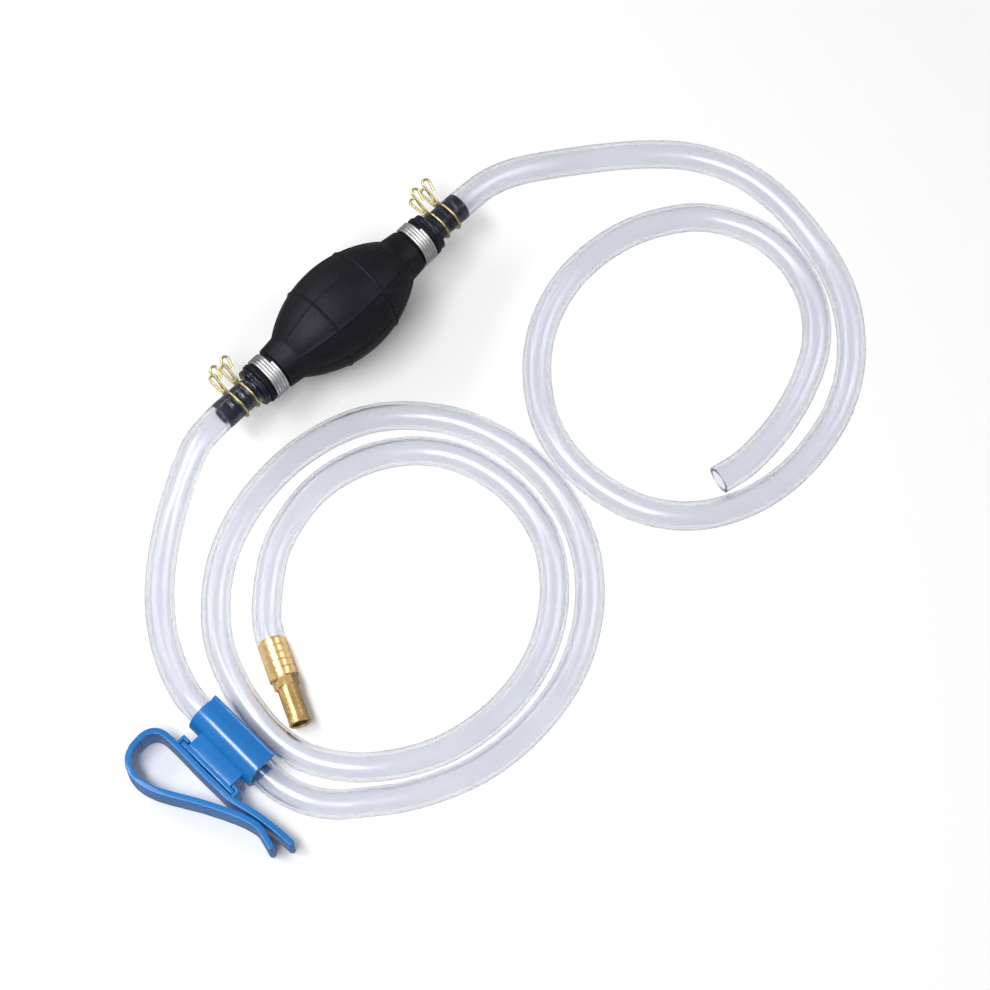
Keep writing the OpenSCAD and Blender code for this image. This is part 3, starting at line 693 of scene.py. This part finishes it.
def flow_arrow():
    """A plain raised arrow that shows the flow."""
    parts = []
    steps, across = 8, 6
    for index, (a0, a1, w0, w1) in enumerate(ARROW):
        verts = []
        for lift in (ARROW_LIFT, -ARROW_LIFT):
            for i in range(steps + 1):
                t = i / steps
                for j in range(across + 1):
                    w = (w0 + (w1 - w0) * t) * (2 * j / across - 1)
                    verts.append(on_bulb(a0 + (a1 - a0) * t, w, lift))
        n = (steps + 1) * (across + 1)
        faces = []
        for base in (0, n):
            for i in range(steps):
                for j in range(across):
                    k = base + i * (across + 1) + j
                    faces.append((k, k + 1, k + across + 2, k + across + 1))
        rim = list(range(across + 1))
        rim += [(i + 1) * (across + 1) - 1 for i in range(1, steps + 1)]
        rim += [steps * (across + 1) + j for j in range(across - 1, -1, -1)]
        rim += [i * (across + 1) for i in range(steps - 1, 0, -1)]
        for k, m in zip(rim, rim[1:] + rim[:1]):
            faces.append((k, m, m + n, k + n))
        parts.append(new_piece(f"arrow_{index}", verts, faces))
    return joined("flow_arrow", parts)


dress(bulb(), RUBBER, replaces=["primer_bulb"])
dress(flow_arrow(), RUBBER)


# ---------------------------------------------------------------------------
# Valve housings, wound rings and wire clips
# ---------------------------------------------------------------------------
WIRE_R, CLIP_CLEAR = 0.65, 0.2
RING_WIRE_R, RING_CLEAR, RING_TURNS, RING_WAVER = 0.75, 0.1, 4.5, 0.1


def barb_outline(count, start, end, root, tip):
    pitch = (end - start) / count
    out = []
    for i in range(count):
        a = start + i * pitch
        out += [(a, root), (a + 0.12 * pitch, tip), (a + 0.4 * pitch, tip), (a + pitch, root + 0.1)]
    return out


def housing(name, side):
    """A hollow sleeve with a grooved collar and a barbed spigot."""
    root, tip, passage, chamber, sleeve = 4.7, 5.3, 3.4, 6.6, SLEEVE_R - 0.02
    groove, groove_half, floor_half, deep = 0.5 * (COLLAR_FROM + COLLAR_TO), 0.35, 0.15, 0.35
    outline = [(SLEEVE_FROM, sleeve), (COLLAR_FROM, sleeve), (COLLAR_FROM, COLLAR_R),
               (groove - groove_half, COLLAR_R), (groove - floor_half, COLLAR_R - deep),
               (groove + floor_half, COLLAR_R - deep), (groove + groove_half, COLLAR_R),
               (COLLAR_TO, COLLAR_R), (COLLAR_TO, root)]
    outline += barb_outline(4, COLLAR_TO + 2, SPIGOT_TO - 5, root, tip)
    outline += [(SPIGOT_TO - 4.2, tip), (SPIGOT_TO - 0.5, tip), (SPIGOT_TO, tip - 0.6),
                (SPIGOT_TO, passage), (SEAT_AT, passage), (SEAT_AT, chamber), (SLEEVE_FROM, chamber)]
    return turned(name, rounded(outline, 0.3, 2), on_pump(side), sharp=40)


def wire_clip_line(at):
    """The bent line of one wire hose clip: a ring whose two ends cross and turn out into finger loops."""
    ring_r, loop_w, loop_len, rise = HOSE_R + CLIP_CLEAR + WIRE_R, 3.6, 12.4, 0.6
    step = 2 * WIRE_R + 0.15
    first, final = -4, 370

    def loop(root, way, back):
        out = np.array(way, float)
        out /= np.linalg.norm(out)
        w = loop_w / 2
        run = loop_len - w
        root = np.array(root, float)
        x = np.array((1.0, 0, 0))
        pts = [root + out * run * s for s in (0.15, 0.5, 1)]
        for t in np.radians((150, 120, 90, 60, 30)):
            pts.append(root + out * run + x * (w + w * math.cos(t)) + out * w * math.sin(t))
        return pts + [root + x * loop_w * (0.3 + 0.7 * s) + out * run * s for s in (1, 0.75, back)]

    def polar(a, r):
        return r * math.cos(math.radians(a)), r * math.sin(math.radians(a))

    ring = [(step * (a - first) / (final - first), *polar(a, ring_r)) for a in range(first, final + 1, 17)]
    z0 = polar(first, ring_r)[1]
    y1, z1 = polar(final, ring_r)
    low = loop((0, ring_r + rise, z0 - 0.5), (0.75, 11.7, -2.8), 0.2)
    high = loop((step, y1 + rise, z1 + 0.5), (0, 12, 5.6), 0.5)
    line = np.array(list(reversed(low)) + [np.array(q) for q in ring] + high)
    line = even_line(smooth_line(line, 6), 0.45)
    return (line + (at, 0, AXIS_Z)) * MM


def wire_clip(name, at, node):
    line = wire_clip_line(at)
    edges = [(i, i + 1) for i in range(len(line) - 1)]
    piece = grown(name, BENT_WIRE_TREE, [tuple(p) for p in line], edges, Wire_Radius=WIRE_R * MM,
                  Material=ZINC)
    return dress(piece, ZINC, replaces=[node])


def wound_ring(name, side, node):
    start = RING_FROM + RING_WIRE_R
    travel = RING_TO - RING_WIRE_R - start
    origin = side * (start if side > 0 else start + travel)
    piece = grown(name, COIL_TREE, [(0, 0, 0)], [], Turns=RING_TURNS,
                  Coil_Radius=(BAND_R + RING_CLEAR + RING_WIRE_R) * MM, Travel=travel * MM,
                  Wire_Radius=RING_WIRE_R * MM, Waver=RING_WAVER * MM,
                  Place=(origin * MM, 0, AXIS_Z * MM), Turned=(0, math.radians(90), 0), Material=SILVER)
    return dress(piece, SILVER, replaces=[node])


for side, end in ((-1, "inlet"), (1, "outlet")):
    dress(housing(f"{end}_housing", side), NYLON, replaces=[f"{end}_valve_housing"])
    wound_ring(f"{end}_ring", side, f"{end}_wound_ring")
    for at, label in zip(WIRE_CLIP_AT, ("inner", "outer")):
        wire_clip(f"{end}_clip_{label}", side * at, f"{end}_wire_clip_{label}")


# ---------------------------------------------------------------------------
# Brass connector
# ---------------------------------------------------------------------------
def brass_shape(along, radius, angle):
    """The hexagon: flats that run out into the turned chamfers."""
    least_r = NOSE_R + 0.2
    if not -0.001 < along < HEX_LEN + 0.001 or radius < least_r:
        return radius
    turn = (angle + math.pi / 6) % (math.pi / 3) - math.pi / 6
    return min(radius, HEX_AF / 2 / math.cos(turn))


def brass():
    """Barbed tail, hexagon and faintly ringed nose, from the tail's end to the flared tip and back
    down the bore."""
    end = HEX_LEN + NOSE_LEN
    ripple, ripple_count, flare_r, chamfer = 0.008, 6, NOSE_R + 0.28, 0.5
    waves = np.linspace(HEX_LEN + 0.4, end - 3.0, 8 * ripple_count + 1)
    swing = np.cos(2 * math.pi * ripple_count * np.linspace(0, 1, len(waves)))
    corner, flat = HEX_AF / 2 / math.cos(math.pi / 6), HEX_AF / 2 - 0.1
    body = [(-TAIL_LEN, BRASS_BORE + 0.2), (-TAIL_LEN, BARB_ROOT)]
    body += [(a - TAIL_LEN, r) for a, r in barb_outline(5, 0.2, TAIL_LEN - 1, BARB_ROOT, BARB_TIP)]
    body += [(-0.01, BARB_ROOT), (0.0, flat), (chamfer, corner), (HEX_LEN - chamfer, corner),
             (HEX_LEN, flat), (HEX_LEN + 0.01, NOSE_R)]
    body += [(a, NOSE_R - ripple + ripple * w) for a, w in zip(waves, swing)]
    body += [(end - 1.8, NOSE_R + 0.05), (end - 0.9, flare_r), (end - 0.4, flare_r),
             (end, flare_r - 0.35), (end, BRASS_BORE + 0.3), (end - 0.5, BRASS_BORE),
             (-TAIL_LEN + 0.4, BRASS_BORE)]
    return turned("brass_hose_connector", body, on_brass, sides=144, shape=brass_shape, sharp=24)


connector = dress(brass(), BRASS, replaces=["brass_connector"])


# ---------------------------------------------------------------------------
# Blue hose holder and tank clip
# ---------------------------------------------------------------------------
def along_hose(x, z, far):
    return Vector((HOLD_X + x, HOLD_FROM - far, HOLD_Z + z)) * MM


def standing(x, y, z):
    return Vector((x, y, z)) * MM


def holder():
    """The open sleeve with its turned-out lips, the neck and the foot that slides in the clip."""
    bore, mouth, tab, tab_out, rim, corner = HOSE_R + 0.1, 44.0, 1.8, 2.0, 0.4, 0.5
    ring = np.radians(np.linspace(mouth, 360 - mouth, 61))
    outer = [(HOLDER_R * math.cos(t), HOLDER_R * math.sin(t)) for t in ring]
    inner = [(bore * math.cos(t), bore * math.sin(t)) for t in ring]

    def lip(side):
        """The turned-out lip, from the bore round its rounded end to the outside of the sleeve."""
        t = math.radians(side * mouth)
        out, over = np.array((math.cos(t), math.sin(t))), side * np.array((-math.sin(t), math.cos(t)))
        tip = out * (HOLDER_R + tab_out) + over * tab / 2
        turn = np.radians(np.linspace(-90, 90, 9))
        round_end = [tuple(tip + tab / 2 * (math.cos(a) * out + math.sin(a) * over)) for a in turn]
        return round_end + [tuple(out * (HOLDER_R + 0.15) + over * tab)]

    clear = 1 + int(math.degrees(tab / HOLDER_R) * 60 / (360 - 2 * mouth))
    outline = outer[clear:-clear] + list(reversed(lip(-1))) + list(reversed(inner)) + lip(1)
    sleeve = slab("sleeve", outline, 0, HOLD_LEN, along_hose, rim)
    neck_from, neck_to = FOOT_X + FOOT_T - 0.2, HOLD_X - HOSE_R - 0.7
    short = HOOK_OVER + corner
    y0, y1 = FOOT_Y - FOOT_LEN + short, FOOT_Y - short
    block = [(neck_from, y0), (neck_to, y0), (neck_to, y1), (neck_from, y1)]
    neck = slab("neck", rounded(block, corner), FOOT_LOW, FOOT_TOP, standing, rim)
    foot_y0, foot_y1 = FOOT_Y - FOOT_LEN, FOOT_Y
    foot_x1 = FOOT_X + FOOT_T
    plate = [(FOOT_X, foot_y0), (foot_x1, foot_y0), (foot_x1, foot_y1), (FOOT_X, foot_y1)]
    foot = slab("foot", rounded(plate, corner), FOOT_LOW, FOOT_TOP, standing, rim)
    return joined("blue_hose_holder", [sleeve, neck, foot])


def strip(name, line):
    """A strip on edge along a line, with a rounded tip."""
    line = smooth_line(line, 5)
    line[0] = (SPLIT_X, BEND_Y)
    way = directions(line)
    way[0] = (np.sign(line[1][0] - line[0][0]), 0)
    left = np.stack([-way[:, 1], way[:, 0]], 1) * STRIP_T / 2
    across = np.array((-way[-1][1], way[-1][0]))
    turn = [math.radians(a) for a in range(75, -76, -15)]
    tip = [tuple(line[-1] + STRIP_T / 2 * (math.cos(a) * way[-1] + math.sin(a) * across)) for a in turn]
    outline = [tuple(q) for q in line + left] + tip + [tuple(q) for q in (line - left)[::-1]]
    return slab(name, outline, 0, STRIP_H, standing, 0.4)


def hook(name, y, towards):
    """One of the two hooks on the back arm that take the holder's foot."""
    root, hook_x = FOOT_X - 1.2, FOOT_X + FOOT_T + SLIDE_GAP
    lip_to = hook_x + HOOK_T
    shape = [(root, -SLIDE_GAP - HOOK_T), (lip_to, -SLIDE_GAP - HOOK_T), (lip_to, HOOK_OVER),
             (hook_x, HOOK_OVER), (hook_x, -SLIDE_GAP), (root, -SLIDE_GAP)]
    shape = rounded([(x, y + towards * v) for x, v in shape], 0.35)
    return slab(name, shape, 0, STRIP_H, standing, 0.3)


holder_piece = dress(holder(), BLUE, replaces=["hose_holder"])
back_arm = joined("tank_clip_back_arm", [strip("back", BACK_ARM), hook("hook_a", FOOT_Y, -1),
                                         hook("hook_b", FOOT_Y - FOOT_LEN, 1)])
dress(back_arm, BLUE, body="tank_clip", replaces=["clip_back_arm"])
front_arm = strip("tank_clip_front_arm", SPRING_ARM)
flexing(front_arm, BLUE, "clip_spring_arm")

# ---------------------------------------------------------------------------
# Sealed valve parts keep their own shapes, and the springs, which shorten in use, are copied as they are
# ---------------------------------------------------------------------------
for node, material in (("inlet_valve_guide", VALVE_WHITE), ("inlet_valve_poppet", VALVE_WHITE),
                       ("outlet_valve_seat", VALVE_WHITE), ("outlet_valve_poppet", VALVE_WHITE)):
    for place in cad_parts[node].material_slots:
        place.material = material

for end in ("inlet", "outlet"):
    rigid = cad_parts[f"{end}_valve_spring"]
    coil = bpy.data.objects.new(f"{end}_spring_coil", rigid.data.copy())
    coil.data.transform(rigid.matrix_world)
    bpy.context.scene.collection.objects.link(coil)
    flexing(coil, SPRING_STEEL, f"{end}_valve_spring")


# ---------------------------------------------------------------------------
# Floor and lights
# ---------------------------------------------------------------------------
def floor():
    half, drop = 12.0, 0.0002
    piece = new_piece("floor", [(-half, -half, 0), (half, -half, 0), (half, half, 0), (-half, half, 0)],
                      [(0, 1, 2, 3)])
    pale = bpy.data.materials.new("pale floor")
    pale.use_nodes = True
    shader = pale.node_tree.nodes["Principled BSDF"]
    shader.inputs["Base Color"].default_value = (0.93, 0.93, 0.932, 1)
    shader.inputs["Roughness"].default_value = 0.9
    shader.inputs["Specular IOR Level"].default_value = 0.1
    piece.data.materials.append(pale)
    piece.location.z = -drop
    piece.visible_glossy = False


def softbox(name, place, target, size, power, size_y=None):
    light = bpy.data.lights.new(name, "AREA")
    light.shape = "RECTANGLE"
    light.size = size
    light.size_y = size_y or size
    light.energy = power
    lamp = bpy.data.objects.new(name, light)
    lamp.location = place
    lamp.rotation_euler = (Vector(target) - Vector(place)).to_track_quat("-Z", "Y").to_euler()
    bpy.context.scene.collection.objects.link(lamp)


def studio_world(ambient, pale, overhead, below):
    """Even white light all round. Mirror-like surfaces see it bright overhead and dim lower down."""
    world = bpy.data.worlds.new("studio")
    world.use_nodes = True
    nodes, link = world.node_tree.nodes, world.node_tree.links.new
    background = nodes["Background"]
    background.inputs["Color"].default_value = (1, 1, 1, 1)
    place, split = nodes.new("ShaderNodeTexCoord"), nodes.new("ShaderNodeSeparateXYZ")
    link(place.outputs["Generated"], split.inputs["Vector"])
    dome = nodes.new("ShaderNodeMapRange")
    dome.interpolation_type = "SMOOTHSTEP"
    dome.inputs["From Min"].default_value = -0.1
    dome.inputs["From Max"].default_value = 0.95
    dome.inputs["To Min"].default_value = below
    dome.inputs["To Max"].default_value = overhead
    link(split.outputs["Z"], dome.inputs["Value"])
    path = nodes.new("ShaderNodeLightPath")
    mirror, seen = nodes.new("ShaderNodeMix"), nodes.new("ShaderNodeMix")
    mirror.inputs[2].default_value = ambient
    link(path.outputs["Is Glossy Ray"], mirror.inputs[0])
    link(dome.outputs["Result"], mirror.inputs[3])
    seen.inputs[3].default_value = pale
    link(path.outputs["Is Camera Ray"], seen.inputs[0])
    link(mirror.outputs[0], seen.inputs[2])
    link(seen.outputs[0], background.inputs["Strength"])
    bpy.context.scene.world = world


floor()
middle = (0.0, -0.1, 0.0)
softbox("key light", (-0.72, 0.05, 1.45), middle, 1.3, 21, 0.36)
softbox("strip light", (-0.3, 1.1, 0.9), middle, 1.4, 6, 0.18)
softbox("fill light", (1.0, -0.7, 1.0), middle, 0.7, 4.5)
studio_world(ambient=0.25, pale=1.0, overhead=0.36, below=0.24)
bpy.context.scene.view_settings.view_transform = "Standard"
